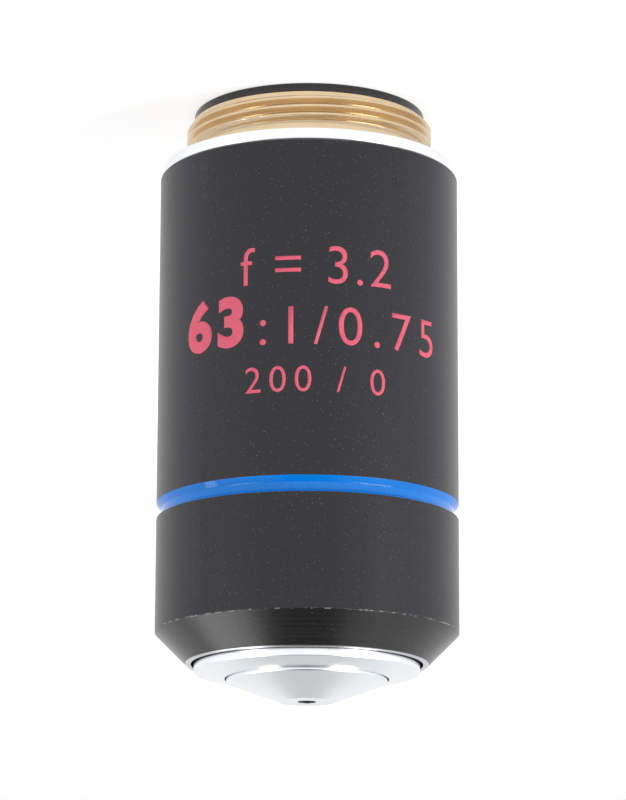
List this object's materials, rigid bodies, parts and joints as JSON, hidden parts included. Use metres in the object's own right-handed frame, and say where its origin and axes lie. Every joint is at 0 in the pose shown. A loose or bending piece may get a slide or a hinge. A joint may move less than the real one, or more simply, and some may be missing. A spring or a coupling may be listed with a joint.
{
  "type": "microscope objective",
  "caption": "High-power microscope objective: brass thread, black barrel with a blue band, spring-loaded conical nose and a small front lens.",
  "frame": {"origin": "centre of the thread end's face, on the optical axis, with the objective standing on its thread end", "axes": "+Z along the optical axis from the thread end to the front lens; +X towards the guide screw; -Y towards the lettered side"},
  "size_m": [0.0246, 0.0246, 0.0491],
  "materials": {
    "brass": "turned",
    "black_metal": "satin",
    "spring_steel": "drawn",
    "plated_metal": "satin",
    "steel": "turned",
    "lens_glass": "polished"
  },
  "bodies": {
    "housing": {"mount_body": "brass", "end_ring": "black_metal", "outer_sleeve": "black_metal", "return_spring": "spring_steel"},
    "nose": {"lens_tube": "plated_metal", "stop_ring": "brass", "guide_screw": "steel", "front_cell": "plated_metal", "front_lens": "lens_glass", "meniscus_cell": "black_metal", "meniscus_lens": "lens_glass", "first_doublet_cell": "black_metal", "first_doublet_crown": "lens_glass", "first_doublet_flint": "lens_glass", "first_doublet_lock": "black_metal", "doublet_spacer": "black_metal", "second_doublet_cell": "black_metal", "second_doublet_flint": "lens_glass", "second_doublet_crown": "lens_glass", "second_doublet_lock": "black_metal", "aperture_stop": "black_metal", "long_spacer": "black_metal", "rear_cell": "black_metal", "rear_hollow_element": "lens_glass", "rear_full_element": "lens_glass", "rear_lock": "black_metal", "retaining_ring": "black_metal"}
  },
  "joints": [
    {"name": "nose_slide", "type": "slide", "parent": "housing", "child": "nose", "axis": [0, 0, -1], "range_m": [0, 0.0018], "stiffness_N_per_m": 800, "springref_m": -0.006, "deforming": ["return_spring"]}
  ]
}
